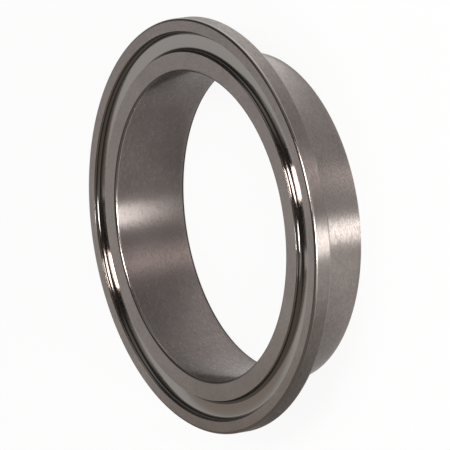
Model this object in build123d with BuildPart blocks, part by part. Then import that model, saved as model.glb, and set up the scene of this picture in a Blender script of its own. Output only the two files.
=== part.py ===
"""Sanitary clamp ferrule for 2 inch tube, short butt-weld pattern, turned in one piece from stainless bar.

The ring stands on its weld end: the tube axis is +Z, z = 0 is the weld end, and the flange face with its
gasket groove is on top. All lengths are in millimetres.
"""
from build123d import *
from math import radians, tan
import os

# Tube
tube_diameter = 50.8  # outside, the 2 inch tube that the weld end is butted to
tube_wall = 1.6
overall_length = 12.7  # weld end to flange face

# Flange
flange_width = 6.55  # how far the flange stands out from the tube, all round
rim_thickness = 2.75  # straight band round the flange, from its face to the back taper
back_taper_angle = 20  # the clamp's seat behind the rim, in degrees from the plane of the face
neck_fillet = 1.5  # where the back taper runs into the tube

# Gasket groove in the flange face
outer_land = 1.95  # flat ring between the rim and the groove
groove_width = 3.2
groove_depth = 1.0
groove_corner_radius = 0.7  # where the square walls run into the bottom
groove_bottom_radius = 11  # the bottom is dished a little
groove_lip_radius = 0.05

# Edges
face_edge_radius = 0.3  # rim and bore, where they meet the flange face
rim_back_radius = 0.3
weld_edge_chamfer = 0.1  # deburring only, so that the wall meets the tube square

# Radii and heights that follow from these
tube_radius = tube_diameter / 2
bore_radius = tube_radius - tube_wall
flange_radius = tube_radius + flange_width
rim_back_z = overall_length - rim_thickness
neck_z = rim_back_z - flange_width * tan(radians(back_taper_angle))
groove_radius = flange_radius - outer_land - groove_width / 2


def corner(section, radius, height):
    """The corner of the section that lies nearest to this radius and height."""
    return section.vertices().sort_by_distance((radius, height, 0))[0]


# The groove's section: square walls, round corners and a dished bottom, open above the face
with BuildSketch() as groove:
    with Locations((groove_radius, overall_length)):
        Rectangle(groove_width, 4 * groove_depth)
    with Locations((groove_radius, overall_length - groove_depth + groove_bottom_radius)):
        Circle(groove_bottom_radius, mode=Mode.INTERSECT)
    for side in (-1, 1):
        foot = corner(groove, groove_radius + side * groove_width / 2, overall_length - groove_depth)
        fillet(foot, groove_corner_radius)

# One half of the ring's cross-section, then a full turn about the tube axis
with BuildPart() as ferrule:
    with BuildSketch(Plane.XZ) as section:
        with BuildLine():
            Polyline(
                (bore_radius, 0),
                (tube_radius, 0),
                (tube_radius, neck_z),
                (flange_radius, rim_back_z),
                (flange_radius, overall_length),
                (bore_radius, overall_length),
                close=True,
            )
        make_face()
        fillet(corner(section, tube_radius, neck_z), neck_fillet)
        fillet(corner(section, flange_radius, rim_back_z), rim_back_radius)
        fillet(corner(section, flange_radius, overall_length), face_edge_radius)
        fillet(corner(section, bore_radius, overall_length), face_edge_radius)
        chamfer(corner(section, tube_radius, 0), weld_edge_chamfer)
        chamfer(corner(section, bore_radius, 0), weld_edge_chamfer)

        # Cut the groove, and break its two lips
        add(groove.sketch_local, mode=Mode.SUBTRACT)
        for side in (-1, 1):
            lip = corner(section, groove_radius + side * groove_width / 2, overall_length)
            fillet(lip, groove_lip_radius)
    revolve(axis=Axis.Z)

ferrule.part.label = "ferrule"

os.makedirs("parts", exist_ok=True)
export_step(ferrule.part, "parts/ferrule.step")

print("flange diameter", round(2 * flange_radius, 3), "bore diameter", round(2 * bore_radius, 3))
print("groove centre diameter", round(2 * groove_radius, 3), "volume", round(ferrule.part.volume, 1))
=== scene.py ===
# %% [markdown]
# # A turned steel ring: the sanitary clamp ferrule
#
# The real object is one ring, turned on a lathe from a stainless steel bar. A cutting tool follows one
# outline while the bar spins, so every surface is that outline carried round the axis. This lesson makes
# the ring the same way: it draws the outline once, spins it, and then gives each stretch of the outline
# the finish that its own tool left.

import math

import bmesh
import bpy
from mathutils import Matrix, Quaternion, Vector


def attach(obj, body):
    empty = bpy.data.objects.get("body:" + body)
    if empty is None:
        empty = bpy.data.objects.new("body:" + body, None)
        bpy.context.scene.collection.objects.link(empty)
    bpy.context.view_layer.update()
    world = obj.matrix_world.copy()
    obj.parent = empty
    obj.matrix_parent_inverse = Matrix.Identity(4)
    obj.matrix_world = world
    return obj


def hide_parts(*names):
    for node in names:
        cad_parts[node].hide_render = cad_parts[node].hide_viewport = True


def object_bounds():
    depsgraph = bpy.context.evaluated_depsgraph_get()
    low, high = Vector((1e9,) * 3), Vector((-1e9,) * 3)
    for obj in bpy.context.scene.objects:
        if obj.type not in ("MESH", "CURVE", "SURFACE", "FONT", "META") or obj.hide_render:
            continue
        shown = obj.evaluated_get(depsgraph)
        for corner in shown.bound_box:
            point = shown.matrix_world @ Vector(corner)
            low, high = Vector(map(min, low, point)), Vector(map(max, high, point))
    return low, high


bpy.ops.wm.read_factory_settings(use_empty=True)
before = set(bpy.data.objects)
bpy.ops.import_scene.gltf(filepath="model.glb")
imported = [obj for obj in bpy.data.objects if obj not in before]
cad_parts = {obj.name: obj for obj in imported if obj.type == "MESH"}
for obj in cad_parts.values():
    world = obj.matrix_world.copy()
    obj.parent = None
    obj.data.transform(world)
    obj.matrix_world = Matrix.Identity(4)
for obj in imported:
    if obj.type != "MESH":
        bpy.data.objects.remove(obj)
cad_low, cad_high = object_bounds()
print("CAD box in mm:", [round(v * 1000, 2) for v in cad_high - cad_low])

# %% [markdown]
# ## The sizes
#
# The frame gives the two sizes that everything else hangs on: how wide the flange is and how tall the
# ring stands. The rest are the sizes that a turner would read off the drawing. They could be measured
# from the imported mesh, but named numbers say what each cut is. Each rounded corner also has a number of
# steps, which is how many short straight cuts stand in for the curve.

# %% Sizes, in metres
mm = 0.001
flange_radius = cad_high.x
height = cad_high.z
tube_radius = 25.4 * mm
bore_radius = 23.8 * mm
rim_thickness = 2.75 * mm
back_taper = math.radians(20)
neck_fillet = 1.5 * mm
edge_rounding = 0.42 * mm
edge_steps = 8
weld_chamfer = 0.1 * mm
print("flange", round(2 * flange_radius / mm, 2), "mm across,", round(height / mm, 2), "mm tall")

# %% [markdown]
# ## Drawing the outline
#
# An outline could be a list of points worked out with sines and cosines. Here it is drawn the way a
# pen moves: a straight cut extrudes one vertex, and a rounded corner spins it about the corner's
# centre. Each helper takes the pen and hands back the vertex where the pen stops.

# %% Pen helpers
section = bmesh.new()
along = section.verts.layers.float.new("along")
finish_stops = []
quarter = math.pi / 2


def cut_to(pen, radius, z):
    """A straight cut from the pen to a point of the section."""
    made = bmesh.ops.extrude_vert_indiv(section, verts=[pen])
    made["verts"][0].co = (radius, 0, z)
    return made["verts"][0]


def round_about(pen, radius, z, turn, steps):
    """A rounded corner: the pen turns about (radius, z). A positive turn rounds an outer corner."""
    made = bmesh.ops.spin(section, geom=[pen], cent=(radius, 0, z), axis=(0, -1, 0),
                          angle=turn, steps=steps, use_merge=False)
    return [part for part in made["geom_last"] if isinstance(part, bmesh.types.BMVert)][0]


def finished(pen, finish):
    """Notes that the stretch which ends at the pen has this finish."""
    finish_stops.append((pen, finish))


# %% [markdown]
# ## The outside, from the weld end up to the face
#
# The pen starts at the weld end, where the ring will be joined to its tube, and runs up the outside.
# Behind the flange is the taper that the clamp pulls on, and a fillet leads from it into the tube. Small
# roundings are not decoration: a polished edge is what catches the light as a bright line.

# %% Weld end and tube
pen = section.verts.new((bore_radius + weld_chamfer, 0, 0))
pen = cut_to(pen, tube_radius - weld_chamfer, 0)
finished(pen, "faced weld end")
pen = cut_to(pen, tube_radius, weld_chamfer)

rim_back = height - rim_thickness
taper_turn = quarter - back_taper
neck_z = rim_back - (flange_radius - tube_radius) * math.tan(back_taper)
neck_tangent = neck_fillet * math.tan(taper_turn / 2)
tube_top = neck_z - neck_tangent
pen = cut_to(pen, tube_radius, tube_top)
finished(pen, "brushed tube")
print("the tube is straight up to", round(tube_top / mm, 2), "mm")

# %% Neck fillet, back taper and rim
rim_back_steps = 6
pen = round_about(pen, tube_radius + neck_fillet, tube_top, -taper_turn, edge_steps)
back_tangent = edge_rounding * math.tan(taper_turn / 2)
back_r = flange_radius - back_tangent * math.cos(back_taper)
back_z = rim_back - back_tangent * math.sin(back_taper)
pen = cut_to(pen, back_r, back_z)
finished(pen, "turned back")
pen = round_about(pen, flange_radius - edge_rounding, rim_back + back_tangent, taper_turn, rim_back_steps)
pen = cut_to(pen, flange_radius, height - edge_rounding)
finished(pen, "turned rim")
pen = round_about(pen, flange_radius - edge_rounding, height - edge_rounding, quarter, edge_steps)
finished(pen, "polished edge")
print("the rim's straight band starts", round((rim_back + back_tangent) / mm, 2), "mm up")

# %% [markdown]
# ## The gasket groove
#
# The bead of a rubber gasket sits in this groove. It has square walls, and a floor that is dished a
# little. The nose of the tool leaves the foot of each wall round. In the steel's reflections wall and
# floor together throw light back in two bounces, and the round foot does it in one. The foot is a
# little rougher, and it is painted far darker than the groove: painted shade in the groove's corners.

# %% Groove sizes
outer_land = 1.95 * mm
groove_width = 3.2 * mm
groove_depth = 1 * mm
foot_rounding = 0.65 * mm
floor_radius = 20 * mm
lip_rounding = 0.015 * mm
foot_steps, floor_steps, lip_steps = 16, 10, 5

groove_outer = flange_radius - outer_land
groove_inner = groove_outer - groove_width
groove_middle = (groove_outer + groove_inner) / 2
floor_centre_z = height - groove_depth + floor_radius
floor_turn = math.asin((groove_width / 2 - foot_rounding) / (floor_radius - foot_rounding))
foot_z = floor_centre_z - (floor_radius - foot_rounding) * math.cos(floor_turn)
print("groove from", round(groove_inner / mm, 2), "to", round(groove_outer / mm, 2), "mm off the axis")

# %% Outer land, groove and inner land
pen = cut_to(pen, groove_outer + lip_rounding, height)
finished(pen, "satin land")
pen = round_about(pen, groove_outer + lip_rounding, height - lip_rounding, quarter, lip_steps)
pen = cut_to(pen, groove_outer, foot_z)
finished(pen, "polished groove")
# The foot of each wall is painted darker: painted shade.
pen = round_about(pen, groove_outer - foot_rounding, foot_z, floor_turn - quarter, foot_steps)
finished(pen, "groove corner")
pen = round_about(pen, groove_middle, floor_centre_z, -2 * floor_turn, floor_steps)
finished(pen, "polished groove")
pen = round_about(pen, groove_inner + foot_rounding, foot_z, floor_turn - quarter, foot_steps)
finished(pen, "groove corner")
pen = cut_to(pen, groove_inner, height - lip_rounding)
pen = round_about(pen, groove_inner - lip_rounding, height - lip_rounding, quarter, lip_steps)
finished(pen, "polished groove")
pen = cut_to(pen, bore_radius + edge_rounding, height)
finished(pen, "satin land")
print("face drawn with", len(section.verts), "points so far")

# %% [markdown]
# ## The bore, and the length of the outline
#
# The pen comes back down the bore and stops where it began. The last narrow stretch, down to the weld
# end,
# is painted near black: a painted dark line round the far end of the bore. Then every
# vertex notes how far along the outline it lies, because the finishes and the lathe marks need it.

# %% Bore
# The bore's last stretch is painted near black: a painted dark line.
painted_dark_line_width = 0.22 * mm
pen = round_about(pen, bore_radius + edge_rounding, height - edge_rounding, quarter, edge_steps)
finished(pen, "polished edge")
pen = cut_to(pen, bore_radius, weld_chamfer + painted_dark_line_width)
finished(pen, "brushed bore")
pen = cut_to(pen, bore_radius, weld_chamfer)
pen = cut_to(pen, bore_radius + weld_chamfer, 0)
finished(pen, "cut edge")
print("the bore's wall is", round((height - edge_rounding - weld_chamfer) / mm, 2), "mm long")

# %% Measure along the outline
outline = list(section.verts)
for before, after in zip(outline, outline[1:]):
    after[along] = before[along] + (after.co - before.co).length
section_length = pen[along]
finish_ends = [(stop[along], finish) for stop, finish in finish_stops]
print("outline has", len(outline), "points and is", round(section_length / mm, 2), "mm long")

# %% [markdown]
# ## Turning it
#
# One full spin about the tube's axis makes the ring. `use_merge` joins the last step to the first, so
# there is no seam to close by hand. A degree a step keeps the big circles smooth even where the
# light glances off them.

# %% Spin the outline
full_turn = 2 * math.pi
ring_steps = 360
bmesh.ops.spin(section, geom=section.verts[:] + section.edges[:], cent=(0, 0, 0), axis=(0, 0, 1),
               angle=full_turn, steps=ring_steps, use_merge=True)
print("ring has", len(section.faces), "faces")

# %% [markdown]
# ## Unrolling it for the lathe marks
#
# A lathe tool leaves marks that run round the axis. To draw them the material has to know which way
# round is, so the ring gets a map: U is how far round, V is how far along the outline. The length
# along the outline was kept on the vertices before the spin, and the spin carried it round. The same
# length says which finish each face has.

# %% Map and finishes
ring_map = section.loops.layers.uv.new("OFBake")
finish_names = sorted(set(finish for end, finish in finish_ends))
for face in section.faces:
    middle = face.calc_center_median()
    middle_angle = math.atan2(middle.y, middle.x) % full_turn
    middle_along = sum(vertex[along] for vertex in face.verts) / len(face.verts)
    finish = next(name for end, name in finish_ends if middle_along < end)
    face.material_index = finish_names.index(finish)
    face.smooth = True
    for loop in face.loops:
        angle = math.atan2(loop.vert.co.y, loop.vert.co.x)
        step = (angle - middle_angle + math.pi) % full_turn - math.pi
        u = (middle_angle + step) / full_turn
        loop[ring_map].uv = (min(max(u, 0), 1), loop.vert[along] / section_length)
print("finishes:", finish_names)

# %% [markdown]
# ## A clean mesh that shades like metal
#
# The outline's end lies on its start, so those vertices are merged before the normals are worked out
# again. A polished ring shows every fault of its shading. The Weighted Normal modifier lets the flat
# faces lead, so that the small roundings don't bend the light on the flats beside them.

# %% Finish the mesh
merge_distance = 0.001 * mm
sharp_corner = math.radians(30)
flats_lead_fully = 100


def add_object(name, data):
    """Puts a mesh, lamp or camera into the scene."""
    made = bpy.data.objects.new(name, data)
    bpy.context.scene.collection.objects.link(made)
    return made


bmesh.ops.remove_doubles(section, verts=section.verts, dist=merge_distance)
bmesh.ops.recalc_face_normals(section, faces=section.faces)
ring_mesh = bpy.data.meshes.new("turned_ring")
section.to_mesh(ring_mesh)
section.free()
ring_mesh.set_sharp_from_angle(angle=sharp_corner)
ring = add_object("turned_ring", ring_mesh)
flat_faces_lead = ring.modifiers.new("flat_faces_lead", "WEIGHTED_NORMAL")
flat_faces_lead.keep_sharp = True
flat_faces_lead.weight = flats_lead_fully
print("turned ring has", len(ring_mesh.polygons), "faces")

# %% [markdown]
# ## Steel
#
# Stainless steel is a metal all through, so its colour is the colour of its reflections. What changes
# from one surface to the next is how the tool or the abrasive scratched it, and a colour set for each
# surface to how bright it looks there, which is painted light and shade. Scratches that run round
# the ring spread a reflection across themselves, which is what anisotropy does, so every finish here
# is the same steel with other values. The marks come from noise that is stretched round the ring:
# read in the ring's own coordinates as direction round the axis, and finely along the outline.

# %% Marks that run round the ring
def link(tree, source, target):
    tree.links.new(source, target)


def marks_along_ring(tree, round_scale, along_scale):
    """A vector for noise that is long round the ring and fine along its outline."""
    place = tree.nodes.new("ShaderNodeTexCoord")
    flat = tree.nodes.new("ShaderNodeVectorMath")
    flat.operation = "MULTIPLY"
    flat.inputs[1].default_value = (1, 1, 0)
    unit = tree.nodes.new("ShaderNodeVectorMath")
    unit.operation = "NORMALIZE"
    stretch = tree.nodes.new("ShaderNodeVectorMath")
    stretch.operation = "SCALE"
    stretch.inputs["Scale"].default_value = round_scale
    unrolled = tree.nodes.new("ShaderNodeUVMap")
    unrolled.uv_map = "OFBake"
    parts = tree.nodes.new("ShaderNodeSeparateXYZ")
    fine = tree.nodes.new("ShaderNodeMath")
    fine.operation = "MULTIPLY"
    fine.inputs[1].default_value = section_length * along_scale
    lift = tree.nodes.new("ShaderNodeCombineXYZ")
    total = tree.nodes.new("ShaderNodeVectorMath")
    link(tree, place.outputs["Object"], flat.inputs[0])
    link(tree, flat.outputs[0], unit.inputs[0])
    link(tree, unit.outputs[0], stretch.inputs[0])
    link(tree, unrolled.outputs["UV"], parts.inputs[0])
    link(tree, parts.outputs["Y"], fine.inputs[0])
    link(tree, fine.outputs[0], lift.inputs["Z"])
    link(tree, stretch.outputs[0], total.inputs[0])
    link(tree, lift.outputs[0], total.inputs[1])
    return total.outputs[0]


# %% Noise and colour helpers
def noise(tree, vector, scale, detail, grain=0.5):
    """Soft noise. detail adds finer layers, and grain is how strong they are."""
    made = tree.nodes.new("ShaderNodeTexNoise")
    made.inputs["Roughness"].default_value = grain
    made.inputs["Scale"].default_value = scale
    made.inputs["Detail"].default_value = detail
    link(tree, vector, made.inputs["Vector"])
    return made.outputs["Fac"]


def spread_range(tree, value, low, high):
    """Turns noise, which mostly lies from 0.3 to 0.7, into values from low to high."""
    made = tree.nodes.new("ShaderNodeMapRange")
    made.inputs["From Min"].default_value = 0.3
    made.inputs["From Max"].default_value = 0.7
    made.inputs["To Min"].default_value = low
    made.inputs["To Max"].default_value = high
    link(tree, value, made.inputs["Value"])
    return made.outputs["Result"]


def colour_mix(tree, share):
    """A Mix node for colours: its first colour, its second colour and its result."""
    made = tree.nodes.new("ShaderNodeMix")
    made.data_type = "RGBA"
    link(tree, share, made.inputs[0])
    return made.inputs[6], made.inputs[7], made.outputs[2]


# %% [markdown]
# ## The steel builder
#
# Each finish has the same three layers. Lathe marks change the roughness and stand out a little as
# relief. Worn clouds and a fine grain make the colour lighter and darker from spot to spot. The tangent
# follows the map, and a quarter turn of the anisotropy lays the scratches round the ring.

# %% The steel builder
mark_depth = 0.01 * mm
scratches_run_round = 0.25
cloud_scale = 160
grain_share = 0.65


def worn_colour(tree, colour, tint):
    """The colour, lighter and darker by the share that tint gives."""
    place = tree.nodes.new("ShaderNodeTexCoord")
    clouds = noise(tree, place.outputs["Object"], scale=cloud_scale, detail=3, grain=0.6)
    fine_marks = marks_along_ring(tree, round_scale=60, along_scale=4500)
    speckle = noise(tree, fine_marks, scale=1, detail=2, grain=0.7)
    both = tree.nodes.new("ShaderNodeMix")
    both.inputs["Factor"].default_value = grain_share
    link(tree, clouds, both.inputs["A"])
    link(tree, speckle, both.inputs["B"])
    darker, lighter, result = colour_mix(tree, spread_range(tree, both.outputs["Result"], 0, 1))
    darker.default_value = (*[c * (1 - tint) for c in colour], 1)
    lighter.default_value = (*[c * (1 + tint) for c in colour], 1)
    return result


def steel(name, colour, roughness, anisotropy, streak, bump, tint):
    """One finish. streak is how much the roughness changes from mark to mark, bump how deep they are."""
    made = bpy.data.materials.new(name.replace(" ", "_"))
    made.use_nodes = True
    tree = made.node_tree
    shader = tree.nodes["Principled BSDF"]
    shader.inputs["Metallic"].default_value = 1
    shader.inputs["Anisotropic"].default_value = anisotropy
    shader.inputs["Anisotropic Rotation"].default_value = scratches_run_round
    tangent = tree.nodes.new("ShaderNodeTangent")
    tangent.direction_type = "UV_MAP"
    tangent.uv_map = "OFBake"
    link(tree, tangent.outputs[0], shader.inputs["Tangent"])

    marks = noise(tree, marks_along_ring(tree, round_scale=30, along_scale=3500), scale=1, detail=3)
    link(tree, spread_range(tree, marks, roughness * (1 - streak), roughness * (1 + streak)),
         shader.inputs["Roughness"])
    link(tree, worn_colour(tree, colour, tint), shader.inputs["Base Color"])

    relief = tree.nodes.new("ShaderNodeBump")
    relief.inputs["Strength"].default_value = bump
    relief.inputs["Distance"].default_value = mark_depth
    link(tree, marks, relief.inputs["Height"])
    link(tree, relief.outputs[0], shader.inputs["Normal"])
    return made


# %% [markdown]
# ## One steel, ten finishes
#
# The two lands are satin, and the groove and the small edges are polished. The rim and the back of the
# flange are as the tool left them, and tube and bore are brushed. The steel is the same throughout, but
# each surface's colour is set to how bright it looks where it stands, so the colours are painted light
# and shade: bore and tube darker, lands and groove lighter, the groove's foot and the bore's far end
# darker still.

# %% Finishes
# Painted light and shade: each colour is how bright that surface looks, not a different steel.
land_steel = (0.5, 0.437, 0.404)
groove_steel = (0.56, 0.52, 0.48)
# Painted shade: the groove's round foot, far darker than the groove.
groove_foot_painted_shade = (0.22, 0.2, 0.187)
edge_steel = (0.3, 0.27, 0.25)
rim_steel = (0.208, 0.18, 0.168)
tube_steel = (0.236, 0.205, 0.191)
bore_steel = (0.184, 0.156, 0.146)
# Painted dark line: the bore's last stretch, near black.
painted_dark_line_steel = (0.05, 0.045, 0.04)
finish_values = {
    # colour, roughness, anisotropy, streak, bump, tint
    "satin land": (land_steel, 0.34, 0.6, 0.15, 0.15, 0.2),
    "polished groove": (groove_steel, 0.11, 0.8, 0.1, 0.05, 0.03),
    "groove corner": (groove_foot_painted_shade, 0.14, 0.8, 0.1, 0.05, 0.03),
    "polished edge": (edge_steel, 0.22, 0.3, 0.1, 0.05, 0.03),
    "turned rim": (rim_steel, 0.31, 1, 0.15, 0.15, 0.22),
    "brushed tube": (tube_steel, 0.27, 1, 0.15, 0.08, 0.22),
    "brushed bore": (bore_steel, 0.3, 1, 0.15, 0.07, 0.2),
    "cut edge": (painted_dark_line_steel, 0.3, 0.5, 0.1, 0.1, 0.05),
    "turned back": (tube_steel, 0.36, 0.8, 0.2, 0.3, 0.05),
    "faced weld end": (tube_steel, 0.36, 0.8, 0.2, 0.3, 0.05),
}
for finish in finish_names:
    ring_mesh.materials.append(steel(finish, *finish_values[finish]))
print(len(ring_mesh.materials), "finishes on the ring")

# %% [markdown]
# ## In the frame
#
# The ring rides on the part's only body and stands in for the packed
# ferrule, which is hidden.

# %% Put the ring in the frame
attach(ring, "root")
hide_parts("ferrule")
print(ring.name, "stands in for the packed ferrule")

# %% [markdown]
# ## Table
#
# The ring stands on its weld end on a white table. The table could be a plain bright surface, but then
# the ring would cast no shadow on it. So it is a real pale paint that takes the shadow, and most of
# what the eye and the steel's reflections see of it is plain white.

# %% Table
table_reach = 6
floor_mesh = bpy.data.meshes.new("table")
table = bmesh.new()
bmesh.ops.create_grid(table, x_segments=1, y_segments=1, size=table_reach)
table.to_mesh(floor_mesh)
table.free()
floor = add_object("table", floor_mesh)
print("table is", 2 * table_reach, "m wide")

# %% The table's paint
pale_paint = (0.85, 0.85, 0.85, 1)
paint_roughness = 0.8
plain_white_share = 0.9

white = bpy.data.materials.new("white_table")
white.use_nodes = True
tree = white.node_tree
paint = tree.nodes["Principled BSDF"]
paint.inputs["Base Color"].default_value = pale_paint
paint.inputs["Roughness"].default_value = paint_roughness
paint.inputs["Specular IOR Level"].default_value = 0
glow = tree.nodes.new("ShaderNodeEmission")
glow.inputs["Strength"].default_value = 1
path = tree.nodes.new("ShaderNodeLightPath")
seen = tree.nodes.new("ShaderNodeMath")
seen.operation = "MAXIMUM"
seen_through = tree.nodes.new("ShaderNodeMath")
seen_through.operation = "MAXIMUM"
share = tree.nodes.new("ShaderNodeMath")
share.operation = "MULTIPLY"
share.inputs[1].default_value = plain_white_share
blend = tree.nodes.new("ShaderNodeMixShader")
link(tree, path.outputs["Is Camera Ray"], seen.inputs[0])
link(tree, path.outputs["Is Glossy Ray"], seen.inputs[1])
link(tree, seen.outputs[0], seen_through.inputs[0])
link(tree, path.outputs["Is Transmission Ray"], seen_through.inputs[1])
link(tree, seen_through.outputs[0], share.inputs[0])
link(tree, share.outputs[0], blend.inputs[0])
link(tree, paint.outputs[0], blend.inputs[1])
link(tree, glow.outputs[0], blend.inputs[2])
link(tree, blend.outputs[0], tree.nodes["Material Output"].inputs["Surface"])
floor_mesh.materials.append(white)
print("plain white share of the table:", plain_white_share)

# %% [markdown]
# ## Room
#
# Polished steel shows the room more than itself. A picture of a real room could stand round the ring,
# but a few named values say more. Two bands of brightness round the room do that work here: what
# stands near the floor shows in the tube, the bore and the rim, and what is higher up shows in the
# groove. The camera's side is dark in both, and that is what makes the groove black beside its lights.

# %% Directions and bands of brightness
def round_from_camera(azimuth, elevation=0):
    """A direction, by degrees round from the camera's side and degrees up."""
    a = math.radians(azimuth)
    e = math.radians(elevation)
    return Vector((math.sin(a) * math.cos(e), -math.cos(a) * math.cos(e), math.sin(e)))


def band_round(tree, turn, name, stops):
    """Brightness by degrees round from the camera's side, from -180 to 180. turn is a radial gradient."""
    ramp = tree.nodes.new("ShaderNodeValToRGB")
    ramp.name = name
    ramp.color_ramp.interpolation = "EASE"
    places = []
    for azimuth, brightness in stops:
        toward = round_from_camera(azimuth)
        place = math.atan2(toward.y, toward.x) / full_turn + 0.5
        places.append((place, brightness))
    places.sort()
    elements = ramp.color_ramp.elements
    elements[0].position = places[0][0]
    elements[1].position = places[-1][0]
    for place, brightness in places[1:-1]:
        elements.new(place)
    for element, (place, brightness) in zip(elements, places):
        element.color = (brightness, brightness, brightness, 1)
    link(tree, turn.outputs["Fac"], ramp.inputs["Fac"])
    return ramp.outputs["Color"]


# %% Room
room = bpy.data.worlds.new("pale_room")
bpy.context.scene.world = room
room.use_nodes = True
tree = room.node_tree
light = tree.nodes["Background"]
light.inputs["Strength"].default_value = 1
where = tree.nodes.new("ShaderNodeTexCoord")
round_room = tree.nodes.new("ShaderNodeTexGradient")
round_room.gradient_type = "RADIAL"
link(tree, where.outputs["Generated"], round_room.inputs["Vector"])
height_of = tree.nodes.new("ShaderNodeSeparateXYZ")
link(tree, where.outputs["Generated"], height_of.inputs[0])


# %% Bands of the room
def over_height(low_colour, high_colour, from_height, to_height):
    """Goes from the lower colour to the higher one between two heights, as sines of the elevation."""
    rise = tree.nodes.new("ShaderNodeMapRange")
    rise.interpolation_type = "SMOOTHSTEP"
    rise.inputs["From Min"].default_value = from_height
    rise.inputs["From Max"].default_value = to_height
    link(tree, height_of.outputs["Z"], rise.inputs["Value"])
    lower, higher, result = colour_mix(tree, rise.outputs["Result"])
    link(tree, low_colour, lower)
    link(tree, high_colour, higher)
    return result


near_floor = band_round(tree, round_room, "near_floor", [
    (-178, 0.5), (-150, 0.1), (-100, 0.1), (-80, 0.1), (-55, 0.9), (-30, 1.1), (-24, 0.03),
    (40, 0.03), (60, 0.4), (90, 0.8), (120, 0.4), (150, 0.1), (178, 0.5)])
higher_up = band_round(tree, round_room, "higher_up", [
    (-178, 0.44), (-170, 0.4), (-156, 0.07), (-120, 0.06), (-100, 0.3), (-70, 1), (-30, 0.8), (-24, 0.02),
    (44, 0.02), (60, 0.3), (80, 0.4), (105, 0.06), (156, 0.07), (170, 0.4), (178, 0.44)])
overhead = tree.nodes.new("ShaderNodeRGB")
overhead.outputs[0].default_value = (0.055, 0.052, 0.048, 1)
walls = over_height(near_floor, higher_up, from_height=0.15, to_height=0.4)
whole_room = over_height(walls, overhead.outputs[0], from_height=0.7, to_height=0.95)
link(tree, whole_room, light.inputs["Color"])
print("room has", len(tree.nodes), "nodes")

# %% [markdown]
# ## Lamps
#
# Two soft lamps stand either side of the camera. Each shows in the groove and along the edges as a
# white mark. The warm lamp is tall, so its marks run down both walls of the groove. The cool one is
# small, bright and low, and its upper half is a second, fainter lamp. Brightness is given as the steel
# sees it, because an area lamp's energy alone says little about how white its reflection is.

# %% Soft lamps
ring_middle = Vector((0, 0, height / 2))
lamp_distance = 1
warm_tint = (1, 0.9, 0.89)
cool_tint = (0.97, 1, 0.99)


def soft_lamp(name, azimuth, elevation, width, tall, brightness, tint):
    """A lamp that looks width by tall degrees from the ring; brightness is how bright its face is."""
    data = bpy.data.lights.new(name, "AREA")
    data.shape = "ELLIPSE"
    data.size = 2 * lamp_distance * math.tan(math.radians(width / 2))
    data.size_y = 2 * lamp_distance * math.tan(math.radians(tall / 2))
    face_area = math.pi * data.size * data.size_y / 4
    data.energy = brightness * math.pi * face_area
    data.color = tint
    lamp = add_object(name, data)
    toward = round_from_camera(azimuth, elevation)
    lamp.location = ring_middle + toward * lamp_distance
    lamp.rotation_euler = toward.to_track_quat("Z", "Y").to_euler()
    print(name, "energy", round(data.energy, 2))


soft_lamp("warm_lamp", azimuth=19.5, elevation=41, width=17, tall=46, brightness=12, tint=warm_tint)
soft_lamp("cool_lamp", azimuth=-15.8, elevation=6.5, width=15, tall=13, brightness=58, tint=cool_tint)
soft_lamp("cool_lamp_top", azimuth=-15, elevation=15, width=18, tall=9, brightness=22, tint=cool_tint)

# %% [markdown]
# ## A lamp for the table
#
# The table has a lamp of its own overhead. It is kept out of the steel's reflections, so it only makes
# the table white and gives the ring its soft shadow.

# %% Table lamp
table_lamp_width = 2
table_lamp_height = 1.6
table_lamp_energy = 9
table_lamp = bpy.data.lights.new("table_lamp", "AREA")
table_lamp.shape = "DISK"
table_lamp.size = table_lamp_width
table_lamp.energy = table_lamp_energy
over_table = add_object("table_lamp", table_lamp)
over_table.location = (0, 0, table_lamp_height)
over_table.visible_glossy = False
print("table lamp hangs", table_lamp_height, "m up")

# %% [markdown]
# ## Camera
#
# The photograph was taken from far away with a long lens, with the ring on its side. Here the ring
# stands on its weld end, so the camera looks down at it and is rolled over by the same turn.

# %% Camera
camera_distance = 814.4 * mm
camera_elevation = 32.15
camera_roll = -98.54
camera_lens = 427.8
sensor_width = 36
nearest_seen = 10 * mm
aim_point = Vector((-0.311, -2.173, 9.243)) * mm

camera_data = bpy.data.cameras.new("camera")
camera_data.sensor_width = sensor_width
camera_data.lens = camera_lens
camera_data.clip_start = nearest_seen
camera = add_object("camera", camera_data)
toward_camera = round_from_camera(0, camera_elevation)
camera.location = aim_point + toward_camera * camera_distance
level_turn = toward_camera.to_track_quat("Z", "Y")
roll_turn = Quaternion((0, 0, 1), math.radians(camera_roll))
camera.rotation_euler = (level_turn @ roll_turn).to_euler()
bpy.context.scene.camera = camera
print("camera stands at", [round(v / mm) for v in camera.location], "mm")

# %% [markdown]
# ## A dark card
#
# Toward the lower edge of the picture the steel is darker. A photographer gets that with a dark card
# just outside the picture. Only the steel sees this one: it is hidden from the camera, it throws no
# shadow, and it lights nothing else.

# %% Helpers for cards
def plain_glow(name):
    """A material that only shines, and its Emission node."""
    made = bpy.data.materials.new(name)
    made.use_nodes = True
    tree = made.node_tree
    tree.nodes.remove(tree.nodes["Principled BSDF"])
    glow = tree.nodes.new("ShaderNodeEmission")
    link(tree, glow.outputs[0], tree.nodes["Material Output"].inputs["Surface"])
    return made, glow


def only_steel_sees(made):
    made.visible_camera = False
    made.visible_diffuse = False
    made.visible_shadow = False


# %% Dark card
card_width = 140 * mm
card_gap = 40 * mm
card_back = 8 * mm
card_colour = (0.26, 0.235, 0.215, 1)

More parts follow.
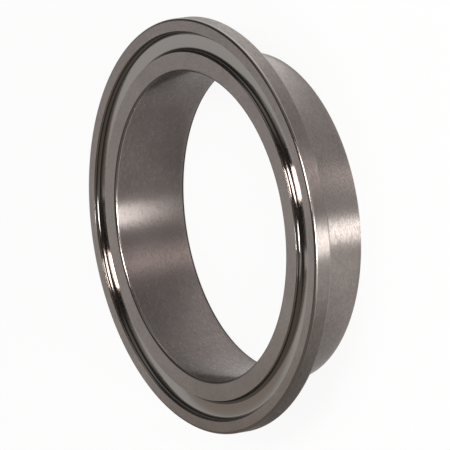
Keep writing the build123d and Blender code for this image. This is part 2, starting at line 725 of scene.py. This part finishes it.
card_mesh = bpy.data.meshes.new("dark_card")
card_form = bmesh.new()
bmesh.ops.create_grid(card_form, x_segments=1, y_segments=1, size=card_width / 2)
card_form.to_mesh(card_mesh)
card_form.free()
card = add_object("dark_card", card_mesh)
picture_up = (level_turn @ roll_turn) @ Vector((0, 1, 0))
card.location = aim_point - picture_up * card_gap - toward_camera * card_back
card.rotation_euler = picture_up.to_track_quat("Z", "Y").to_euler()
only_steel_sees(card)
dark, dark_glow = plain_glow("dark_card")
dark_glow.inputs["Color"].default_value = card_colour
card_mesh.materials.append(dark)
print("dark card stands", round(card_gap / mm), "mm below the aim point in the picture")

# %% [markdown]
# ## Cards on the table
#
# Tube and bore look down at the table, and in the photograph they show it brighter on some sides than
# on others. The white table itself can't change without showing behind the ring, so two flat rings of
# card lie on it: one round the outside, one inside the bore. Their brightness runs round the axis, and
# again only the steel sees them.

# %% Cards on the table
card_lift = 0.2 * mm
card_clearance = 0.5 * mm
card_reach = 400 * mm
card_hole = 1 * mm
card_steps = 48


def table_card(name, from_radius, to_radius, stops):
    """A flat ring on the table that only the steel sees; stops give its brightness round the axis."""
    mesh = bpy.data.meshes.new(name)
    form = bmesh.new()
    inner_end = form.verts.new((from_radius, 0, 0))
    drawn = bmesh.ops.extrude_vert_indiv(form, verts=[inner_end])
    drawn["verts"][0].co = (to_radius, 0, 0)
    bmesh.ops.spin(form, geom=form.verts[:] + form.edges[:], cent=(0, 0, 0), axis=(0, 0, 1),
                   angle=full_turn, steps=card_steps, use_merge=True)
    form.to_mesh(mesh)
    form.free()
    made = add_object(name, mesh)
    made.location = (0, 0, card_lift)
    only_steel_sees(made)
    finish, glow = plain_glow(name)
    tree = finish.node_tree
    place = tree.nodes.new("ShaderNodeTexCoord")
    turn = tree.nodes.new("ShaderNodeTexGradient")
    turn.gradient_type = "RADIAL"
    link(tree, place.outputs["Object"], turn.inputs["Vector"])
    link(tree, band_round(tree, turn, name, stops), glow.inputs["Color"])
    mesh.materials.append(finish)
    print(name, "from", round(from_radius / mm, 1), "to", round(to_radius / mm, 1), "mm off the axis")


table_card("card_outside", tube_radius + card_clearance, card_reach, [
    (-178, 0.5), (-130, 0.3), (-107, 0.4), (-90, 0.6), (-70, 0.72), (-55, 0.8), (-40, 1), (-28, 1.25),
    (-12, 1.1), (0, 0.9), (28, 0.82), (42, 0.9), (55, 1.25), (66, 1.75), (88, 1.7), (100, 1.2),
    (110, 0.9), (140, 0.8), (178, 0.5)])
table_card("card_inside", card_hole, bore_radius - card_clearance, [
    (-178, 0.66), (-170, 0.65), (-163, 0.9), (-152, 1.3), (-138, 1.35), (-60, 1), (60, 0.9), (110, 0.7),
    (135, 0.75), (145, 0.6), (157, 0.5), (165, 0.75), (172, 1), (176, 0.9)])

# %% [markdown]
# ## Colours as they are written
#
# Blender's usual view transform softens bright colours. Standard leaves them as written, so the steel
# and the white table come out at the values that this script gives them.

# %% View transform
bpy.context.scene.view_settings.view_transform = "Standard"
print("view transform:", bpy.context.scene.view_settings.view_transform)
